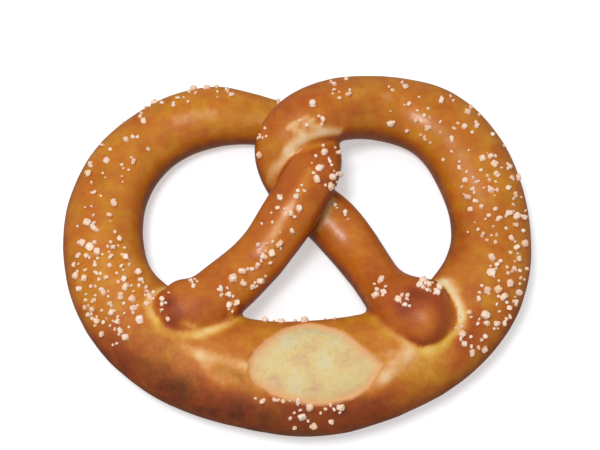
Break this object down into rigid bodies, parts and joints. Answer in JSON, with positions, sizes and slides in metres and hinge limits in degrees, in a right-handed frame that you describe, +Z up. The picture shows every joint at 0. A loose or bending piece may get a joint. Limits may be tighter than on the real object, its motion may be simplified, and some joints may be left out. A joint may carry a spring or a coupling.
{
  "type": "soft pretzel",
  "caption": "Soft salted pretzel: one rope of browned dough, thick at the belly, with its thin arms twisted and pressed on the belly, a pale split in the crust and coarse salt.",
  "frame": {"origin": "on the table, under the middle of the pretzel's bounding box", "axes": "+X across the pretzel to the viewer's right, +Y from the thick belly towards the twist and the top of the loops, +Z up from the flat baked base"},
  "size_m": [0.1659, 0.1332, 0.0308],
  "materials": {
    "pretzel": "browned, lightly glossy pretzel crust with coarse salt and a pale, matte split"
  },
  "bodies": {
    "root": {"pretzel": "pretzel"}
  },
  "joints": []
}
